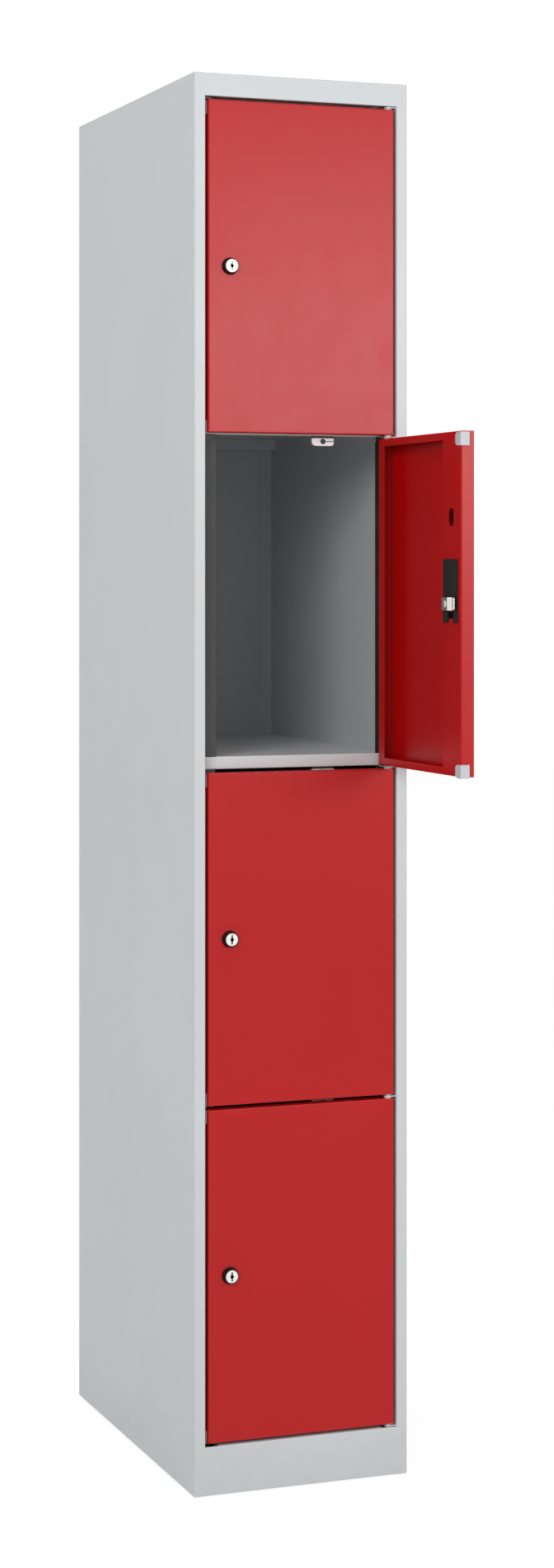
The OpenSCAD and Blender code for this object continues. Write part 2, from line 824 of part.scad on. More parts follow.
module corner_bumper(z) {
    pad_y = seal_y - bumper_gap;
    lip_face = front_y + door_depth;
    outline = [
        [-edge_x, lip_face - bumper_wrap],
        [-edge_x, lip_face],
        [-edge_x + bumper_lip, lip_face],
        [-edge_x + bumper_lip, pad_y],
        [-edge_x - bumper_t, pad_y],
        [-edge_x - bumper_t, lip_face - bumper_wrap]];
    inner = -edge_x + bumper_lip;
    low_corner = [for (a = [0 : CORNER_STEP : 90])
        [inner - bumper_round_l * (1 - sin(a)), z + bumper_round_h * (1 - cos(a))]];
    high_corner = [for (p = reversed(low_corner)) [p[0], 2 * z + bumper_h - p[1]]];
    intersection() {
        along_z(z, z + bumper_h)
            polygon(round_loop(
                outline, [0, 0, 0, bumper_edge_r, 2 * bumper_edge_r, bumper_edge_r]));
        along_y(front_y, pad_y + cut)
            polygon(concat([[-edge_x - bumper_t - cut, z]], low_corner, high_corner,
                           [[-edge_x - bumper_t - cut, z + bumper_h]]));
    }
}

// Locks. Each is drawn about its own axis, with Y as the depth behind the face of the door

module at_lock(n) {
    at_door(n)
        translate([lock_x, front_y, lock_z])
            children();
}

module turned_with_key(n) {
    at_lock(n)
        rotate([0, bolt_turn(n), 0])
            children();
}

// Turns a shape made about Z so that it runs back along Y
module into_door() {
    rotate([-90, 0, 0])
        children();
}

// Moulded case inside the channel: bored for the barrel, forked at its foot
module door_lock_case(n) {
    x0 = -lock_inset + case_edge;
    back = door_depth + case_proud;
    color("#20211e")
        at_lock(n)
            difference() {
                along_y(case_front, back)
                    polygon(round_box([x0, -case_down], [x0 + case_w, case_up], case_r));
                block([-fork_w / 2, case_front - cut, -case_down - cut],
                      [fork_w / 2, back + cut, -case_down + fork_h]);
                into_door()
                    cylinder(r = barrel_r + part_gap, h = back + cut);
            }
}

// Bezel and barrel in one, bored in two steps for the plug
module door_lock_barrel(n) {
    step = head_l - bezel_h + part_gap;
    color("#151514")
        at_lock(n)
            into_door()
                rotate_extrude()
                    polygon([
                        [face_r + plug_clear, -bezel_h],
                        [bezel_front_r - edge_break, -bezel_h],
                        [bezel_front_r, -bezel_h + edge_break],
                        [bezel_r - edge_break / 2, -2 * edge_break],
                        [bezel_r, -edge_break],
                        [bezel_r, 0],
                        [barrel_r, 0],
                        [barrel_r, barrel_back],
                        [plug_r + plug_clear, barrel_back],
                        [plug_r + plug_clear, step],
                        [face_r + plug_clear, step]]);
}

// Plug: bright keyed face, body through the barrel and the square that turns the cam
module lock_plug(n) {
    face = -bezel_h - face_proud;
    head_back = head_l - bezel_h;
    color("#d9dbda")
        turned_with_key(n)
            difference() {
                union() {
                    into_door()
                        rotate_extrude()
                            polygon([
                                [0, face],
                                [face_r - edge_break, face],
                                [face_r, face + edge_break],
                                [face_r, head_back],
                                [plug_r, head_back],
                                [plug_r, cam_hub_depth],
                                [0, cam_hub_depth]]);
                    block([-square_w / 2, cam_hub_depth - cut, -square_w / 2],
                          [square_w / 2, cam_hub_depth + cam_t, square_w / 2]);
                }
                translate([0, face - cut, 0])
                    into_door()
                        cylinder(r = key_r, h = key_depth + cut);
                block([-key_w / 2, face - cut, -key_l / 2], [key_w / 2, face + key_depth, key_l / 2]);
                translate([0, cam_hub_depth + cam_t - screw_l - cut, 0])
                    into_door()
                        cylinder(r = screw_r + plug_clear, h = screw_l + 2 * cut);
            }
}

// Cam: a hub on the square, cranked towards the door, with the tip that hooks behind the stop
module lock_cam(n) {
    path = [
        [cam_w / 2, cam_hub_depth],
        [-cam_bend_in, cam_hub_depth],
        [-cam_bend_out, cam_tip_depth],
        [-cam_reach, cam_tip_depth]];
    hole = square_w / 2 + plug_clear;
    color("#c8c4ba")
        turned_with_key(n)
            difference() {
                intersection() {
                    along_z(-cam_w / 2, cam_w / 2)
                        polygon(sheet_outline(path, -cam_t, cam_fold_r));
                    along_y(cam_tip_depth - cut, cam_hub_depth + cam_t + cut)
                        polygon(round_loop(
                            [[-cam_reach, -cam_w / 2], [cam_w / 2, -cam_w / 2],
                             [cam_w / 2, cam_w / 2], [-cam_reach, cam_w / 2]],
                            [cam_tip_round, cam_hub_round, cam_hub_round, cam_tip_round]));
                }
                block([-hole, cam_hub_depth - cut, -hole],
                      [hole, cam_hub_depth + cam_t + cut, hole]);
            }
}

// Screw that holds the cam on its square
module lock_cam_screw(n) {
    seat = cam_hub_depth + cam_t;
    back = seat + screw_head_h;
    color("#b7b5ae")
        turned_with_key(n)
            difference() {
                into_door()
                    rotate_extrude()
                        polygon([
                            [0, seat - screw_l],
                            [screw_r, seat - screw_l],
                            [screw_r, seat],
                            [screw_head_r, seat],
                            [screw_head_r, back - 2 * edge_break],
                            [screw_head_r - 2 * edge_break, back],
                            [0, back]]);
                for (a = [0, 90])
                    rotate([0, a, 0])
                        block([-screw_slot_w / 2, back - screw_slot_h, -screw_slot_l / 2],
                              [screw_slot_w / 2, back + cut, screw_slot_l / 2]);
            }
}

// Feet

foot_front_y = front_y + foot_inset_y;
foot_rear_y = rear_return_y - foot_inset_y;
foot_x = side_x - foot_inset_x;

function foot_places() = [for (y = [foot_front_y, foot_rear_y]) for (x = [-foot_x, foot_x]) [x, y]];

// Bracket in the right front corner: flange on the wall, plate, and the nut under it
module foot_bracket() {
    path = [
        [inner_x, bracket_z + bracket_flange],
        [inner_x, bracket_z],
        [inner_x - bracket_size, bracket_z]];
    front = front_y + sheet_t + fold_room;
    difference() {
        union() {
            along_y(front, front + bracket_size)
                polygon(sheet_outline(path, -bracket_t));
            translate([foot_x, foot_front_y, bracket_z - nut_h])
                cylinder(r = nut_r, h = nut_h + bracket_t / 2);
        }
        translate([foot_x, foot_front_y, bracket_z - nut_h - cut])
            cylinder(r = stud_r + pin_clear, h = nut_h + bracket_t + 2 * cut);
    }
}

module foot_brackets() {
    color("#8f9596")
        both_sides() {
            foot_bracket();
            translate([0, foot_front_y + foot_rear_y, 0])
                mirror([0, 1, 0])
                    foot_bracket();
        }
}

// Levelling foot: disc on the floor and stud up through the nut, with a hexagon for the key
module levelling_foot(n) {
    place = foot_places()[n - 1];
    color("#2a2b2a")
        translate([place[0], place[1], 0])
            difference() {
                rotate_extrude()
                    polygon([
                        [0, 0],
                        [foot_r - stud_chamfer, 0],
                        [foot_r, stud_chamfer],
                        [foot_r, foot_disc_h - foot_chamfer],
                        [foot_r - foot_chamfer, foot_disc_h],
                        [stud_r, foot_disc_h],
                        [stud_r, stud_top - stud_chamfer],
                        [stud_r - stud_chamfer, stud_top],
                        [0, stud_top]]);
                translate([0, 0, stud_top - hexagon_h])
                    cylinder(r = hexagon_r, h = hexagon_h + cut, $fn = 6);
            }
}

left_side_panel();
right_side_panel();
left_stop_strip();
right_stop_strip();
back_panel();
roof_panel();
header_rail();
plinth_rail();
shelf(0);  // ceiling_panel
for (n = [1 : door_count - 1])
    shelf(n);
shelf(door_count);  // floor_panel
hinge_side_seals();
lock_side_seals();
hinge_plates();
hinge_pins();
compartment_clips();
clip_studs();
foot_brackets();
for (n = DOORS) {
    door_skin(n);
    door_lock_case(n);
    door_hinge_bushes(n);
    door_corner_bumpers(n);
    door_lock_barrel(n);
    lock_plug(n);
    lock_cam(n);
    lock_cam_screw(n);
}
for (n = [1 : 4])
    levelling_foot(n);
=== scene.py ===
# %% [markdown]
# # A compartment locker
# A tall steel locker: a grey folded cabinet, four red doors one above the other, the second of
# them standing open. The construction is already there as solids, one for each sheet and lock
# part, so this lesson is about what turns them into painted steel, nickel, rubber and plastic.
# The solids are loaded first and never moved: everything that is added sits on them.

# %% Load the solids
import json
import math

import bmesh
import bpy
from mathutils import Matrix, Vector


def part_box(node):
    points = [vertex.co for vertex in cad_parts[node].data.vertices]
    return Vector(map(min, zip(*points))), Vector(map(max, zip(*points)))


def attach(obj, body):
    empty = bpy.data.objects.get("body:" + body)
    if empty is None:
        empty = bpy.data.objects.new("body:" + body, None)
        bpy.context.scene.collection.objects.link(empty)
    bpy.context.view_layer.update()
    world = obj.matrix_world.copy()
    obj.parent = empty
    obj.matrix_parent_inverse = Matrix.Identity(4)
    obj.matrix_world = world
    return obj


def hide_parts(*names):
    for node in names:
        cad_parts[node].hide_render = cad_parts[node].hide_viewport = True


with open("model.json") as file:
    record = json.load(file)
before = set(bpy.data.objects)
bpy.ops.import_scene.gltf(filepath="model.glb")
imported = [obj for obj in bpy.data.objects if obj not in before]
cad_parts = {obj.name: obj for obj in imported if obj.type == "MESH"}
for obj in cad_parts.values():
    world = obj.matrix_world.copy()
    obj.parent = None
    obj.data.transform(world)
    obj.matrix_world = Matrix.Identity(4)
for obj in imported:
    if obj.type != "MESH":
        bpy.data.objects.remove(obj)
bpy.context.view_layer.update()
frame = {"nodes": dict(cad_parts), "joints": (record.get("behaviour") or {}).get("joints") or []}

MM = 0.001
solids = frame["nodes"]

# %% [markdown]
# ## The camera
# The picture is tall and its verticals are parallel, so the camera was held level and the frame
# was shifted, as an architect's camera does. Its place was worked out from the corners of the
# cabinet. A level camera with a shift keeps every upright edge upright, which tilting would not.

# %% Camera
PICTURE = (678, 1920)
FOCAL_PX = 3555.0
HORIZON_PX = (268.0, 698.9)
CAMERA_PLACE = Vector((-1.414, -4.044, 1.203))
CAMERA_TURN = math.radians(20.11)


def add_object(name, data):
    made = bpy.data.objects.new(name, data)
    bpy.context.scene.collection.objects.link(made)
    return made


lens = bpy.data.cameras.new("view")
lens.sensor_width = 36
lens.lens = FOCAL_PX * lens.sensor_width / PICTURE[1]
lens.shift_x = (PICTURE[0] / 2 - HORIZON_PX[0]) / PICTURE[1]
lens.shift_y = -(PICTURE[1] / 2 - HORIZON_PX[1]) / PICTURE[1]
lens.clip_end = 60
camera = add_object("view", lens)
camera.location = CAMERA_PLACE
camera.rotation_euler = (math.pi / 2, 0, -CAMERA_TURN)
bpy.context.scene.camera = camera
print(f"lens {lens.lens:.1f} mm, shift {lens.shift_x:.3f} {lens.shift_y:.3f}")

# %% [markdown]
# ## Wiring nodes with short calls
# Every finish below is a small graph of nodes. Added by hand, each node takes a line to make it
# and a line for each of its sockets. The class turns that into one call: it adds the node and
# feeds its sockets, with a number where a value is fixed, and with a link where it comes from
# another node. The floor and the sky use it as well as the materials.


# %% Node wiring
MIX_FIRST, MIX_SECOND, MIX_RESULT = 6, 7, 2  # the colour sockets of a Mix node


class Graph:
    """A node tree, with short calls that add a node and feed its sockets."""

    def __init__(self, tree):
        self.tree = tree

    def feed(self, socket, value):
        """Links an output to the socket, or writes a fixed value into it."""
        if hasattr(value, "node"):
            self.tree.links.new(value, socket)
        else:
            socket.default_value = (*value, 1) if socket.type == "RGBA" else value

    def node(self, kind, feeds=(), **settings):
        """New node; feeds pairs its inputs, by name or number, with their values."""
        made = self.tree.nodes.new(kind)
        for name, value in settings.items():
            setattr(made, name, value)
        for socket, value in dict(feeds).items():
            self.feed(made.inputs[socket], value)
        return made

    def maths(self, operation, *values):
        return self.node("ShaderNodeMath", enumerate(values), operation=operation).outputs["Value"]

    def product(self, first, *others):
        for other in others:
            first = self.maths("MULTIPLY", first, other)
        return first

    def vectors(self, operation, *values):
        """Number that the operation makes from vectors."""
        made = self.node("ShaderNodeVectorMath", enumerate(values), operation=operation)
        return made.outputs["Value"]

    def parts(self, vector):
        """X, Y and Z of a vector."""
        return self.node("ShaderNodeSeparateXYZ", {"Vector": vector}).outputs

    def between(self, value, low, high):
        """One where the value is between low and high, else zero."""
        return self.maths("COMPARE", value, (low + high) / 2, (high - low) / 2)

    def fit(self, value, low, high, start=0.3, end=0.7):
        """Value from start to end, stretched to run from low to high."""
        feeds = {"Value": value, "From Min": start, "From Max": end, "To Min": low, "To Max": high}
        return self.node("ShaderNodeMapRange", feeds).outputs["Result"]

    def blend(self, amount, first, second):
        """Colour between first and second by amount."""
        feeds = {0: amount, MIX_FIRST: first, MIX_SECOND: second}
        return self.node("ShaderNodeMix", feeds, data_type="RGBA").outputs[MIX_RESULT]

    def mix(self, amount, first, second):
        """Shader between first and second by amount."""
        return self.node("ShaderNodeMixShader", {0: amount, 1: first, 2: second}).outputs["Shader"]


print("short calls:", [name for name in vars(Graph) if not name.startswith("_")])

# %% [markdown]
# ## What a finish is made of
# Noise in the object's own coordinates drives colour, roughness and a fine bump. These are
# metres on every solid, so a noise scale of 500 means features of 2 mm wherever it is used.
# Sheet and mouldings never have knife edges, and a drawn radius on every one of them would cost
# a great many faces. The Bevel node gives the light a rounded edge instead. Where its normal
# leans away from the surface's own there is an edge, and that is where a finish wears first. The
# lean is measured as a cosine, which is 1 on the flat.

# %% Finish
BEVEL_RAYS = 4
EDGE_STARTS, EDGE_FULL = 0.995, 0.86


class Finish(Graph):
    """A new material with its Principled shader, and noise and bump in the object's metres."""

    def __init__(self, name, **fixed):
        self.material = bpy.data.materials.new(name)
        self.material.use_nodes = True
        super().__init__(self.material.node_tree)
        self.shader = self.tree.nodes["Principled BSDF"]
        self.place = self.node("ShaderNodeTexCoord").outputs["Object"]
        for socket, value in fixed.items():
            self.feed(self.shader.inputs[socket.replace("_", " ")], value)

    def mapped(self, vector, scale, shift=(0, 0, 0)):
        feeds = {"Vector": vector, "Location": shift, "Scale": scale}
        return self.node("ShaderNodeMapping", feeds).outputs["Vector"]

    def noise(self, scale, detail=2.0, stretch=None):
        """Noise value; stretch scales the three directions, to draw it out into lines."""
        place = self.mapped(self.place, stretch) if stretch else self.place
        feeds = {"Vector": place, "Scale": scale, "Detail": detail}
        return self.node("ShaderNodeTexNoise", feeds).outputs["Fac"]

    def bump(self, height, depth, strength, under):
        """Normal from a height over the normal under it; depth is in metres."""
        feeds = {"Height": height, "Distance": depth, "Strength": strength, "Normal": under}
        return self.node("ShaderNodeBump", feeds).outputs["Normal"]

    def rounded(self, radius):
        """Normal as if each edge were rounded by the radius."""
        made = self.node("ShaderNodeBevel", {"Radius": radius}, samples=BEVEL_RAYS)
        return made.outputs["Normal"]

    def facing(self):
        """The surface's own normal."""
        return self.node("ShaderNodeNewGeometry").outputs["Normal"]

    def rubbed(self, rounded):
        """Patches along the edges that are rubbed, from the rounded normal."""
        lean = self.vectors("DOT_PRODUCT", rounded, self.facing())
        edge = self.fit(lean, 1, 0, EDGE_FULL, EDGE_STARTS)
        patches = self.fit(self.noise(55, 4), 0, 1, start=0.46, end=0.62)
        return self.product(edge, patches)

    def use(self, colour, roughness, normal):
        self.feed(self.shader.inputs["Base Color"], colour)
        self.feed(self.shader.inputs["Roughness"], roughness)
        self.feed(self.shader.inputs["Normal"], normal)
        return self.material


def shade(colour, factor):
    return tuple(min(1.0, c * factor) for c in colour)


print("calls of a finish:", [name for name in vars(Finish) if not name.startswith("_")])

# %% [markdown]
# ## Colour of the powder coat
# Cabinet and doors are sprayed with dry powder that is melted on in an oven. One flat colour
# would look like card, so the coat gets soft clouds and fine specks. Wear is slight on a new
# locker: the paint is a little lighter where edges are rubbed, and some dust lies on the lowest
# centimetres. The walls inside the cabinet and the undersides of the shelves are darkened as
# painted shade. That place is picked out by where a point lies and which way it faces, because
# inside and outside of a sheet are one solid here.

# %% Coat colour
GREY = (0.606, 0.634, 0.646)
RED = (0.462, 0.0018, 0.0026)
SHADE_BLACK = (0.022, 0.022, 0.021)
DUST = (0.34, 0.33, 0.31)
DUSTY_UP_TO, DUST_SHARE = 0.07, 0.16
PAINTED_INSIDE_SHADE, RUBBED_SHADE = 0.85, 1.12
SKIN = 0.4 * MM
left, right, roof, strip = (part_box(name) for name in (
    "left_side_panel", "right_side_panel", "roof_panel", "left_stop_strip"))


def painted_inside_shade(finish):
    """One on the walls and undersides inside the cabinet, where shade is painted, else zero."""
    spot = finish.parts(finish.place)
    return finish.product(
        finish.between(spot["X"], left[0].x + SKIN, right[1].x - SKIN),
        finish.between(spot["Y"], strip[1].y, left[1].y + SKIN),
        finish.between(spot["Z"], 0, roof[1].z - SKIN),
        finish.maths("LESS_THAN", finish.parts(finish.facing())["Z"], 0.5))


def coat_colour(finish, colour, rub, paint_inside_shade):
    clouds = finish.fit(finish.noise(3.2, 3), 0, 1)
    clouded = finish.blend(clouds, shade(colour, 0.975), shade(colour, 1.025))
    specks = finish.fit(finish.noise(1400, 0), 0, 0.1, start=0.55, end=0.8)
    specked = finish.blend(specks, clouded, shade(colour, 0.9))
    coat = finish.blend(rub, specked, shade(colour, RUBBED_SHADE))
    # Painted shade: the coat inside the cabinet and under the shelves is darkened.
    if paint_inside_shade:
        coat = finish.blend(painted_inside_shade(finish), coat, shade(colour, PAINTED_INSIDE_SHADE))
    low_down = finish.fit(finish.parts(finish.place)["Z"], DUST_SHARE, 0, 0, DUSTY_UP_TO)
    patches = finish.fit(finish.noise(40, 4), 0.3, 1)
    return finish.blend(finish.product(low_down, patches), coat, DUST)


# The painted inside shade lies behind the y printed here.
print(f"thin coat behind y {strip[1].y:.4f}, dust up to {DUSTY_UP_TO * 1000:.0f} mm")

# %% [markdown]
# ## Gloss and relief of the powder coat
# The melted powder flows into a skin with a faint orange peel, about 2 mm from hill to hill and
# only some microns deep, on sheet that is never perfectly flat. Two bumps at those two scales
# make the gloss break up the way it does on real sheet. Rubbed edges are smoother than the rest,
# and dull scuffs run up and down. No spot is allowed to be smoother than SMOOTHEST. A denoiser
# takes a smoother coat for a mirror, and patches of gloss that cross that limit come out of it as
# dark flecks. The cabinet's front sheets meet edge to edge and are painted over, so their edges
# get a tenth of a millimetre, a joint that shows only from close by. The strips that the doors
# close on are painted black as painted shade, which makes the gaps beside the doors dark.

# %% Powder coat finishes
SHEET_EDGE, JOINT_EDGE = 0.4 * MM, 0.1 * MM
PEEL_DEPTH, WAVE_DEPTH, BACK_WAVE_DEPTH = 0.035 * MM, 0.06 * MM, 0.4 * MM
GLOSS_SPREAD, RUB_POLISHES, SCUFF_DULLS = 0.015, 0.06, 0.03
SMOOTHEST = 0.28


def coat_roughness(finish, roughness, rub):
    gloss = finish.fit(finish.noise(35, 3), roughness - GLOSS_SPREAD, roughness + GLOSS_SPREAD)
    streaks = finish.noise(30, 3, stretch=(1, 1, 0.3))
    scuffed = finish.maths("ADD", gloss, finish.fit(streaks, 0, SCUFF_DULLS, 0.56, 0.80))
    polished = finish.maths("MULTIPLY_ADD", rub, -RUB_POLISHES, scuffed)
    return finish.maths("MAXIMUM", polished, SMOOTHEST)


def powder_coat(name, colour, roughness, peel=1.0, wave=WAVE_DEPTH, edge=SHEET_EDGE,
                hollows=None, paint_inside_shade=True):
    """Powder coat; hollows, where given, adds a coarser relief under the paint."""
    finish = Finish(name, Specular_IOR_Level=0.35)
    rounded = finish.rounded(edge)
    rub = finish.rubbed(rounded)
    relief = hollows(finish, rounded) if hollows else rounded
    waved = finish.bump(finish.noise(6.5, 1), wave, 1.0, relief)
    peeled = finish.bump(finish.noise(480, 0), PEEL_DEPTH * peel, 1.0, waved)
    return finish.use(coat_colour(finish, colour, rub, paint_inside_shade),
                      coat_roughness(finish, roughness, rub), peeled)


grey_paint = powder_coat("grey_powder_coat", GREY, 0.34, edge=JOINT_EDGE)
# The shelves' grey is 5 % lighter than the cabinet's, as painted light on their lit tops and lips.
lit_shelf_paint = powder_coat("grey_powder_coat_inside", shade(GREY, 1.05), 0.38, peel=1.3)
red_paint = powder_coat("red_powder_coat", RED, 0.29, peel=0.35, paint_inside_shade=False)
# The black stop strips are painted shade, which darkens the gaps beside the doors.
shade_black_paint = powder_coat("black_painted_shade_coat", SHADE_BLACK, 0.42, paint_inside_shade=False)
print("powder coats:", [m.name for m in (grey_paint, lit_shelf_paint, red_paint, shade_black_paint)])

# %% [markdown]
# ## Spot welds on the back
# The back panel is welded to the side panels' returns by a row of spots on each side. A spot
# leaves a dimple some 8 mm across and half a millimetre deep, which paint softens but doesn't
# hide. A hollow that shallow would never show in the outline, so the dimples are a bump, worked
# out from the distance to the nearest of a row of points.

# %% Back panel finish with weld dimples
WELD_ROWS_AT = 0.139
WELD_PITCH = 0.084
WELD_RADIUS = 4 * MM
WELD_FLAT = 0.55 * WELD_RADIUS
WELD_DEPTH = 0.6 * MM


def weld_dimples(finish, under):
    spot = finish.parts(finish.place)
    across = finish.maths("SUBTRACT", finish.maths("ABSOLUTE", spot["X"]), WELD_ROWS_AT)
    along = finish.maths("PINGPONG", spot["Z"], WELD_PITCH / 2)
    squares = finish.maths("MULTIPLY_ADD", across, across, finish.maths("POWER", along, 2))
    hollow = finish.fit(finish.maths("SQRT", squares), 0, 1, WELD_FLAT, WELD_RADIUS)
    return finish.bump(hollow, WELD_DEPTH, 1.0, under)


back_paint = powder_coat("grey_powder_coat_welded", GREY, 0.42, wave=BACK_WAVE_DEPTH,
                         hollows=weld_dimples)
print(f"welds every {WELD_PITCH * 1000:.0f} mm")

# %% [markdown]
# ## Plated metal
# The plug's face is nickel on brass, turned on a lathe, so its fine marks run round it. They
# are noise over the distance from the middle. The same finish turns dark behind the face: that
# is painted shade, so that the keyhole looks deep. The cam is punched from strip and barrelled,
# which leaves short marks in every direction. Pins, screws and brackets are plain zinc. All are
# fully metallic; what tells them apart is the direction and the depth of the marks and how
# bright the edges are.

# %% Nickel and zinc
NICKEL_DARK, NICKEL_LIGHT = (0.76, 0.76, 0.75), (0.84, 0.84, 0.83)
# KEYHOLE_SHADE is painted shade: the colour from a millimetre behind the plug's face.
KEYHOLE_SHADE = (0.012, 0.011, 0.010)
KEYHOLE_SHADE_FROM, KEYHOLE_SHADE_FULLY = 0.7 * MM, 1.0 * MM
TURNED_EDGE, STAMPED_EDGE = 0.15 * MM, 0.2 * MM
GROOVE_DEPTH = 0.006 * MM


def turned_nickel(name, axis, face_at):
    """Rings about the axis on a face at face_at, and painted shade a millimetre behind that face.
    """
    finish = Finish(name)
    flat = [0 if i == axis else 1 for i in range(3)]
    along = [1 if i == axis else 0 for i in range(3)]
    inside = finish.node("ShaderNodeTexCoord").outputs["Generated"]
    middle = finish.mapped(inside, flat, [-0.5 * f for f in flat])
    feeds = {"W": finish.vectors("LENGTH", middle), "Scale": 60, "Detail": 3}
    rings = finish.node("ShaderNodeTexNoise", feeds, noise_dimensions="1D").outputs["Fac"]
    tint = finish.blend(finish.fit(finish.noise(160), 0, 1), NICKEL_DARK, NICKEL_LIGHT)
    face = [face_at * a for a in along]
    behind = finish.vectors("DISTANCE", finish.mapped(finish.place, along), face)
    keyhole_shade_amount = finish.fit(behind, 0, 1, KEYHOLE_SHADE_FROM, KEYHOLE_SHADE_FULLY)
    finish.feed(finish.shader.inputs["Metallic"], finish.fit(keyhole_shade_amount, 1, 0.3, 0, 1))
    grooves = finish.bump(rings, GROOVE_DEPTH, 1.0, finish.rounded(TURNED_EDGE))
    return finish.use(finish.blend(keyhole_shade_amount, tint, KEYHOLE_SHADE), finish.fit(rings, 0.20, 0.34), grooves)


def barrelled_metal(name, light, dark, roughness, depth=0.03 * MM):
    """Bare or plated strip with short marks in every direction, of the given depth."""
    finish = Finish(name, Metallic=1.0)
    rounded = finish.rounded(STAMPED_EDGE)
    marks = finish.noise(900, 4, stretch=(1, 1, 0.25))
    tint = finish.blend(finish.fit(finish.noise(70, 3), 0, 1), dark, light)
    bright = finish.blend(finish.rubbed(rounded), tint, shade(light, 1.15))
    gloss = finish.fit(marks, roughness - 0.07, roughness + 0.09)
    return finish.use(bright, gloss, finish.bump(marks, depth, 0.5, rounded))


closed_face, open_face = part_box("lock_1_plug")[0].y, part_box("lock_2_plug")[1].x
nickel_closed = turned_nickel("turned_nickel_closed", 1, closed_face)
nickel_open = turned_nickel("turned_nickel_open", 0, open_face)
cam_nickel = barrelled_metal("cam_nickel", (0.84, 0.80, 0.73), (0.78, 0.74, 0.67), 0.33, 0.01 * MM)
screw_zinc = barrelled_metal("screw_zinc", (0.72, 0.72, 0.70), (0.58, 0.58, 0.57), 0.36)
plate_zinc = barrelled_metal("plate_zinc", (0.62, 0.63, 0.63), (0.47, 0.48, 0.49), 0.42, 0.05 * MM)
print(f"plug faces at y {closed_face:.4f} and x {open_face:.4f}")

# %% [markdown]
# ## Plastics and rubber
# Moulded parts carry the spark-eroded texture of their mould, finer than the orange peel of the
# paint. The lock case is black and matt, its bezel black and glossy, the hinge bushes and the
# clips are white nylon that lets a little light in, the bumpers a pale grey. The seals are
# rubber, dull, with faint lines along their length from the die that they were pulled through.
# They are black beside the hinges. Beside the locks the photo shows no black line, so a dark
# grey takes its place there, and the seal sinks into the shade of the compartment.

# %% Moulded and extruded finishes
MOULDED_EDGE, RUBBER_EDGE = 0.3 * MM, 0.2 * MM
LIGHT_REACHES = (1.5 * MM, 1.4 * MM, 1.2 * MM)
LINE_DEPTH = 0.04 * MM


def moulded(name, colour, roughness, grain=0.04 * MM, inner_light=0.0, level=0.5):
    """Moulded plastic; inner_light is the share of light that goes in and comes out again."""
    finish = Finish(name, Specular_IOR_Level=level, Subsurface_Weight=inner_light,
                    Subsurface_Radius=LIGHT_REACHES, Subsurface_Scale=1.0)
    rounded = finish.rounded(MOULDED_EDGE)
    rub = finish.rubbed(rounded)
    clouds = finish.fit(finish.noise(90), 0, 1)
    tint = finish.blend(clouds, shade(colour, 0.95), shade(colour, 1.04))
    gloss = finish.fit(finish.noise(420), roughness - 0.05, roughness + 0.05)
    return finish.use(finish.blend(rub, tint, shade(colour, 1.3)),
                      finish.maths("MULTIPLY_ADD", rub, -0.08, gloss),
                      finish.bump(finish.noise(3200), grain, 0.5, rounded))


def extruded_rubber(name, colour, dusted):
    """Rubber that dust lightens in patches, up to dusted times its colour."""
    finish = Finish(name, Specular_IOR_Level=0.35)
    lines = finish.noise(2400, stretch=(1, 1, 0.004))
    dust = finish.noise(28, 4)
    tint = finish.blend(finish.fit(dust, 0, 1, 0.45, 0.8), colour, shade(colour, dusted))
    return finish.use(tint, finish.fit(dust, 0.58, 0.72),
                      finish.bump(lines, LINE_DEPTH, 0.6, finish.rounded(RUBBER_EDGE)))


case_black = moulded("case_black", (0.014, 0.0125, 0.010), 0.44, level=0.4)
bezel_black = moulded("bezel_black", (0.008, 0.008, 0.008), 0.22, 0.01 * MM, level=0.25)
bush_white = moulded("bush_white", (0.86, 0.86, 0.84), 0.38, 0.02 * MM, 0.15)
clip_white = moulded("clip_white", (0.97, 0.97, 0.97), 0.40, 0.02 * MM, 0.2)
bumper_grey = moulded("bumper_grey", (0.535, 0.550, 0.580), 0.45, 0.03 * MM, 0.1)
foot_black = moulded("foot_black", (0.024, 0.024, 0.024), 0.5)
seal_black = extruded_rubber("seal_black", (0.012, 0.012, 0.011), 2.2)
seal_grey = extruded_rubber("seal_grey", (0.060, 0.064, 0.065), 1.25)
print("materials so far:", len(bpy.data.materials))

# %% [markdown]
# ## Giving each solid its finish
# The solids keep their shape; only what is in their material slot is exchanged. A table from the
# ending of a name to a finish covers all four doors at once. Where two endings fit a name the
# longer one counts, so the open door's plug can have a finish that is turned about another axis.

# %% Finishes on the solids
FINISHES = {
    "side_panel": grey_paint, "back_panel": back_paint, "roof_panel": grey_paint,
    "header_rail": grey_paint, "plinth_rail": grey_paint, "stop_strip": shade_black_paint,
    "ceiling_panel": lit_shelf_paint, "shelf": lit_shelf_paint, "floor_panel": lit_shelf_paint,
    "hinge_side_seals": seal_black, "lock_side_seals": seal_grey,
    "hinge_plates": lit_shelf_paint, "hinge_pins": screw_zinc, "hinge_bushes": bush_white,
    "compartment_clips": clip_white, "clip_studs": case_black, "corner_bumpers": bumper_grey,
    "foot_brackets": plate_zinc, "levelling_foot": foot_black,
    "skin": red_paint, "lock_case": case_black, "lock_barrel": bezel_black,
    "plug": nickel_closed, "lock_2_plug": nickel_open, "cam": cam_nickel, "cam_screw": screw_zinc,
}
for name, solid in solids.items():
    plain_name = name.rstrip("_1234")
    ending = max((e for e in FINISHES if plain_name.endswith(e)), key=len)
    solid.data.materials.clear()
    solid.data.materials.append(FINISHES[ending])
print("finished solids:", len(solids))

# %% [markdown]
# ## Feet with a real thread
# Under the cabinet stand four levelling feet. A plain rod would do for the solid, but seen from
# below a foot is a screw, so it is drawn as one surface whose radius climbs and falls along a
# helix. One grid of points, wrapped round and stepped up, gives core, thread and disc together.


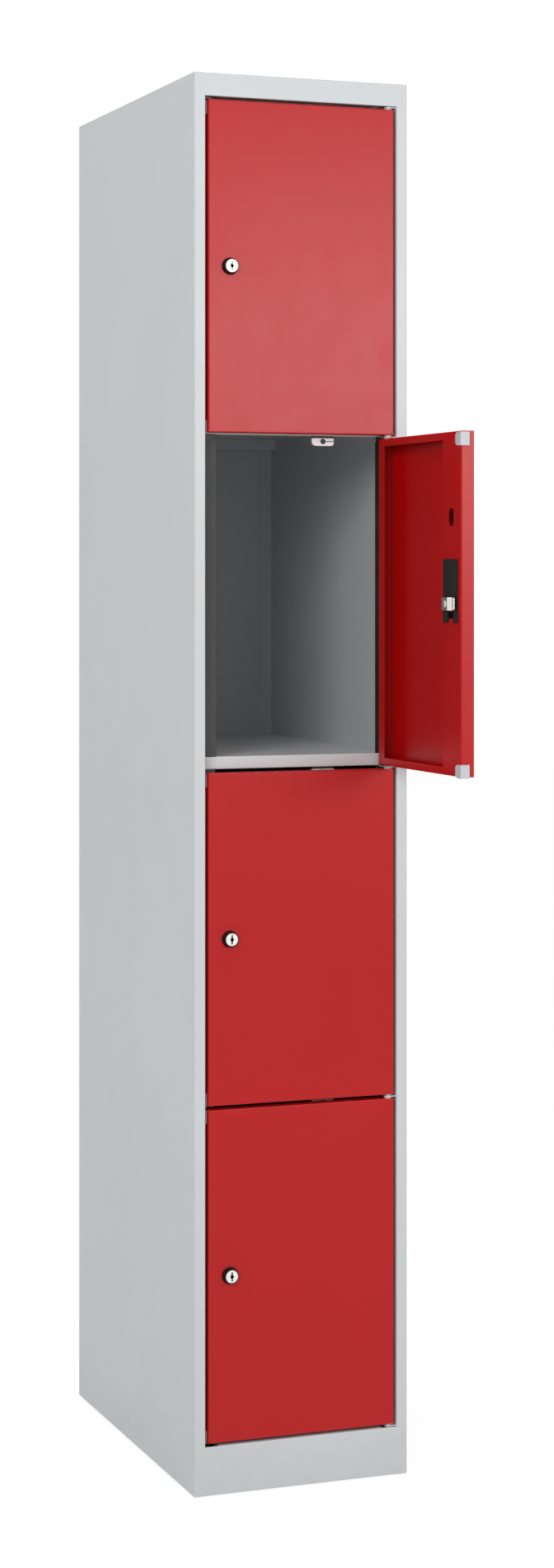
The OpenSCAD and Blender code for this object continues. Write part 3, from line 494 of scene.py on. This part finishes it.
# %% Pieces and rings
def add_piece(name, shape, body, finish):
    """Turns the drawn shape into a piece that rides on a body of the frame."""
    mesh = bpy.data.meshes.new(name)
    shape.to_mesh(mesh)
    shape.free()
    mesh.materials.append(finish)
    piece = add_object(name, mesh)
    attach(piece, body)
    return piece


def wrapped_grid(rows):
    """Shape from rings of points of equal length, each ring joined to the next, ends closed."""
    shape = bmesh.new()
    rings = [[shape.verts.new(p) for p in ring] for ring in rows]
    count = len(rings[0])
    for lower, upper in zip(rings, rings[1:]):
        for i in range(count):
            j = (i + 1) % count
            shape.faces.new((lower[i], lower[j], upper[j], upper[i])).smooth = True
    shape.faces.new(list(reversed(rings[0])))
    shape.faces.new(rings[-1])
    return shape


AROUND = 48


def ring(radius, height, centre):
    """Points round the centre; the radius is a number, or a function of height and angle."""
    points = []
    for k in range(AROUND):
        angle = math.tau * k / AROUND
        r = radius(height, angle) if callable(radius) else radius
        points.append((centre.x + r * math.cos(angle), centre.y + r * math.sin(angle), height))
    return points


print("a ring has", AROUND, "points")

# %% [markdown]
# The foot itself is a profile turned about its axis: a rounded sole, a rim with twelve shallow
# grips for the fingers, a sloped top and a neck, then the thread up to a tapered end. The thread
# has a flat crest and a flat root with sloped flanks between, eight rings to a turn.

# %% Threaded feet
THREAD_PITCH = 1.5 * MM
CORE, CREST = 4.25 * MM, 4.98 * MM
FLANK_STEEPNESS = 1.9
RINGS_A_TURN = 8
GRIPS, GRIP_DEPTH = 12, 0.9 * MM
SOLE = ((1.6, 0.0), (0.7, 0.15), (0.1, 0.9))  # millimetres in from the rim, and up
RIM = (1.3, 2.2, 3.4, 4.3)  # millimetres up
SLOPE = ((1.0, 5.0), (2.2, 5.6))  # millimetres in from the rim, and up
NECK = ((6.4, 5.9), (5.6, 6.0))  # radius, and millimetres up
THREAD_STARTS_UP, THREAD_ENDS_BELOW = 6.3 * MM, 1.6 * MM
TIP_RADIUS = 3.6 * MM
TAPER_BELOW, TIP_BELOW = 1.2 * MM, 0.1 * MM


def thread_radius(height, angle):
    turn = (height / THREAD_PITCH - angle / math.tau) % 1.0
    climb = min(1.0, max(0.0, 0.5 + FLANK_STEEPNESS * (abs(2 * turn - 1) - 0.5)))
    return CORE + (CREST - CORE) * climb


def gripped(radius):
    """Radius of a rim with shallow grips for the fingers."""
    return lambda height, angle: radius - GRIP_DEPTH * (0.5 + 0.5 * math.cos(GRIPS * angle)) ** 3


def foot_rows(low, high):
    """Rings of points of a foot that fills the box from low to high."""
    centre = (low + high) / 2
    disc = (high.x - low.x) / 2
    profile = [(disc - inset * MM, up) for inset, up in SOLE]
    profile += [(gripped(disc), up) for up in RIM]
    profile += [(disc - inset * MM, up) for inset, up in SLOPE]
    profile += [(radius * MM, up) for radius, up in NECK]
    rows = [ring(radius, low.z + up * MM, centre) for radius, up in profile]
    height = low.z + THREAD_STARTS_UP
    while height < high.z - THREAD_ENDS_BELOW:
        rows.append(ring(thread_radius, height, centre))
        height += THREAD_PITCH / RINGS_A_TURN
    rows.append(ring(CORE, high.z - TAPER_BELOW, centre))
    rows.append(ring(TIP_RADIUS, high.z - TIP_BELOW, centre))
    return rows


for n in (1, 2, 3, 4):
    node = f"levelling_foot_{n}"
    foot = add_piece(f"foot_{n}_screw", wrapped_grid(foot_rows(*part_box(node))), f"foot_{n}",
                     foot_black)
    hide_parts(node)
    print(foot.name, len(foot.data.polygons), "faces")

# %% [markdown]
# ## Wafers in the keyholes
# Looking into a cylinder lock one sees brass wafers that stand a little into the slot and wait
# for the key. They are small, but they are what makes a keyhole look deep instead of painted on.
# Each joint of the frame knows the lock's place and the way it faces, so one set of plates is
# drawn once and turned into place four times.

# %% Keyhole wafers
FACE_AT, SLOT_FLOOR_AT = -17.7 * MM, -11.7 * MM
SLOT_LONG, SLOT_WIDE = 12 * MM, 2 * MM
FLOOR_PLATE = (0.5 * MM, 0.1 * MM)  # its front and back, before the floor of the slot
FLOOR_EDGE = 0.05 * MM
WAFERS, FIRST_WAFER_BEHIND, WAFER_PITCH = 4, 1.1 * MM, 1.05 * MM
WAFER_THICK, WAFER_CLEAR = 0.55 * MM, 0.08 * MM
WAFER_STANDS_IN = (1.7 * MM, 2.4 * MM)


def lock_place(joint):
    """Matrix from the lock's own directions, with -Y out of the door, to the row frame."""
    out = Vector(joint["axis"])
    up = Vector((0, 0, 1))
    place = Matrix((up.cross(out), -out, up)).transposed().to_4x4()
    place.translation = Vector(joint["pos_m"])
    return place


def plate(shape, low, high, edge):
    """Small plate with its edges broken, added to the shape."""
    made = bmesh.ops.create_cube(shape, size=1.0)["verts"]
    for vertex in made:
        vertex.co = Vector((low[i] if vertex.co[i] < 0 else high[i] for i in range(3)))
    edges = {e for v in made for e in v.link_edges}
    bmesh.ops.bevel(shape, geom=list(edges), offset=edge, segments=1, affect="EDGES")


def keyhole_wafers():
    """Floor of the slot and wafers that stand in from its two ends by turns, dark as painted
    shade.
    """
    shape = bmesh.new()
    half, side = SLOT_LONG / 2, SLOT_WIDE / 2
    front, back = (SLOT_FLOOR_AT - before for before in FLOOR_PLATE)
    plate(shape, (-side, front, -half), (side, back, half), FLOOR_EDGE)
    for k in range(WAFERS):
        near = FACE_AT + FIRST_WAFER_BEHIND + WAFER_PITCH * k
        end = -half if k % 2 else half
        tip = end * (1 - WAFER_STANDS_IN[k % 2] / half)
        plate(shape, (-side + WAFER_CLEAR, near, min(end, tip)),
              (side - WAFER_CLEAR, near + WAFER_THICK, max(end, tip)), WAFER_CLEAR)
    return shape


# Far darker than real brass: painted shade deep inside the keyhole.
wafer_brass_painted_shade = barrelled_metal("wafer_brass_painted_shade", (0.10, 0.075, 0.04), (0.05, 0.04, 0.02), 0.45)
for joint in frame["joints"]:
    if joint["name"].startswith("lock_"):
        shape = keyhole_wafers()
        shape.transform(lock_place(joint))
        lock = joint["name"]
        wafers = add_piece(f"{lock}_wafers", shape, lock, wafer_brass_painted_shade)
        print(wafers.name, [round(c, 4) for c in wafers.data.vertices[0].co])

# %% [markdown]
# ## The floor
# The locker stands on a pale floor before white. Painting the floor white would throw light up
# at the grey paint, so the floor is two things at once: a matt grey for the light that bounces,
# and a white glow for rays that come straight to the camera or by way of a mirror. Part of what
# the camera sees is still the matt grey, and that part keeps the shadow. Right under the cabinet
# there is no glow, or it would shine out through the open corners of the plinth. From below, the
# floor is clear, so that the feet can be looked at.

# %% Floor
WHITE_SHARE = 0.60
GLOW = 1.37
FLOOR_GREY, WHITE = (0.66, 0.66, 0.66), (1, 1, 1)
FLOOR_HALF = 12
PLINTH_DEEP, GLOW_INSET = 0.05, 0.01


def plain_graph(owner):
    """The emptied node tree of a material or a world, ready for wiring."""
    owner.use_nodes = True
    owner.node_tree.nodes.clear()
    return Graph(owner.node_tree)


def seen_directly(graph):
    """One for rays of the camera, also by way of a mirror or through glass, else zero."""
    ray = graph.node("ShaderNodeLightPath").outputs
    by_way = graph.maths("MAXIMUM", ray["Is Glossy Ray"], ray["Is Transmission Ray"])
    return graph.maths("MAXIMUM", ray["Is Camera Ray"], by_way)


floor_shape = bmesh.new()
bmesh.ops.create_grid(floor_shape, x_segments=1, y_segments=1, size=FLOOR_HALF)
floor_mesh = bpy.data.meshes.new("floor")
floor_shape.to_mesh(floor_mesh)
floor_shape.free()
floor = add_object("floor", floor_mesh)

floor_finish = bpy.data.materials.new("pale_floor")
graph = plain_graph(floor_finish)
spot = graph.parts(graph.node("ShaderNodeTexCoord").outputs["Object"])
under = graph.product(
    graph.between(spot["X"], left[0].x + GLOW_INSET, right[1].x - GLOW_INSET),
    graph.between(spot["Y"], left[0].y + PLINTH_DEEP, left[1].y - GLOW_INSET))
open_share = graph.maths("MULTIPLY_ADD", under, -WHITE_SHARE, WHITE_SHARE)
matt = graph.node("ShaderNodeBsdfDiffuse", {"Color": FLOOR_GREY}).outputs["BSDF"]
glow = graph.node("ShaderNodeEmission", {"Color": WHITE, "Strength": GLOW}).outputs["Emission"]
from_above = graph.mix(graph.product(seen_directly(graph), open_share), matt, glow)
below = graph.node("ShaderNodeNewGeometry").outputs["Backfacing"]
clear = graph.node("ShaderNodeBsdfTransparent").outputs["BSDF"]
graph.node("ShaderNodeOutputMaterial", {"Surface": graph.mix(below, from_above, clear)})
floor_mesh.materials.append(floor_finish)
print("floor", 2 * FLOOR_HALF, "m wide, white share", WHITE_SHARE)

# %% [markdown]
# ## The sky
# A studio's walls and ceiling send light from everywhere, a little more from above. A world that
# grows brighter with height does that in one step and gives the soft shading inside the folds.
# The camera, and what is mirrored, sees plain white instead: strength 1, so the background is
# white without any of it falling on the paint.

# %% Sky
SKY_LOW, SKY_HIGH = 0.44, 0.70
sky = bpy.data.worlds.new("even_sky")
bpy.context.scene.world = sky
graph = plain_graph(sky)
upward = graph.parts(graph.node("ShaderNodeTexCoord").outputs["Generated"])["Z"]
strengths = graph.fit(upward, SKY_LOW, SKY_HIGH, 0.0, 0.9), 1.0
lit, seen = (graph.node("ShaderNodeBackground", {"Color": WHITE, "Strength": strength})
             for strength in strengths)
surface = graph.mix(seen_directly(graph), lit.outputs["Background"], seen.outputs["Background"])
graph.node("ShaderNodeOutputWorld", {"Surface": surface})
print("sky from", SKY_LOW, "to", SKY_HIGH)

# %% [markdown]
# ## Two soft boxes
# The upper door is paler than those below it, with the change spread over its whole height: it
# mirrors a wide soft box that stands in front and to the right, and the others mirror the room.
# A second box, high on the left, gives the shadows a direction. Its own mirror image is
# switched off, because seen from behind it would drown the top of the cabinet.


# %% Soft boxes
def soft_box(name, place, target, size, radiance):
    """Area light whose face has the given radiance, turned from its place to the target."""
    data = bpy.data.lights.new(name, "AREA")
    data.shape = "RECTANGLE"
    data.size, data.size_y = size
    data.energy = radiance * math.pi * size[0] * size[1]
    lamp = add_object(name, data)
    lamp.location = place
    lamp.rotation_euler = (Vector(target) - Vector(place)).to_track_quat("-Z", "Y").to_euler()
    print(name, f"{data.energy:.1f} W")
    return lamp


soft_box("front_box", place=(1.45, -3.6, 1.72), target=(0.0, -0.5, 1.45), size=(2.0, 0.8),
         radiance=6.0)
key_box = soft_box("key_box", place=(-3.0, -4.0, 2.9), target=(0.0, -0.5, 1.0), size=(2.0, 2.0),
                   radiance=7.2)
key_box.visible_glossy = False
bpy.context.scene.view_settings.view_transform = "Standard"

# %% [markdown] Nothing that was added is meant to make the object bigger than its solids.
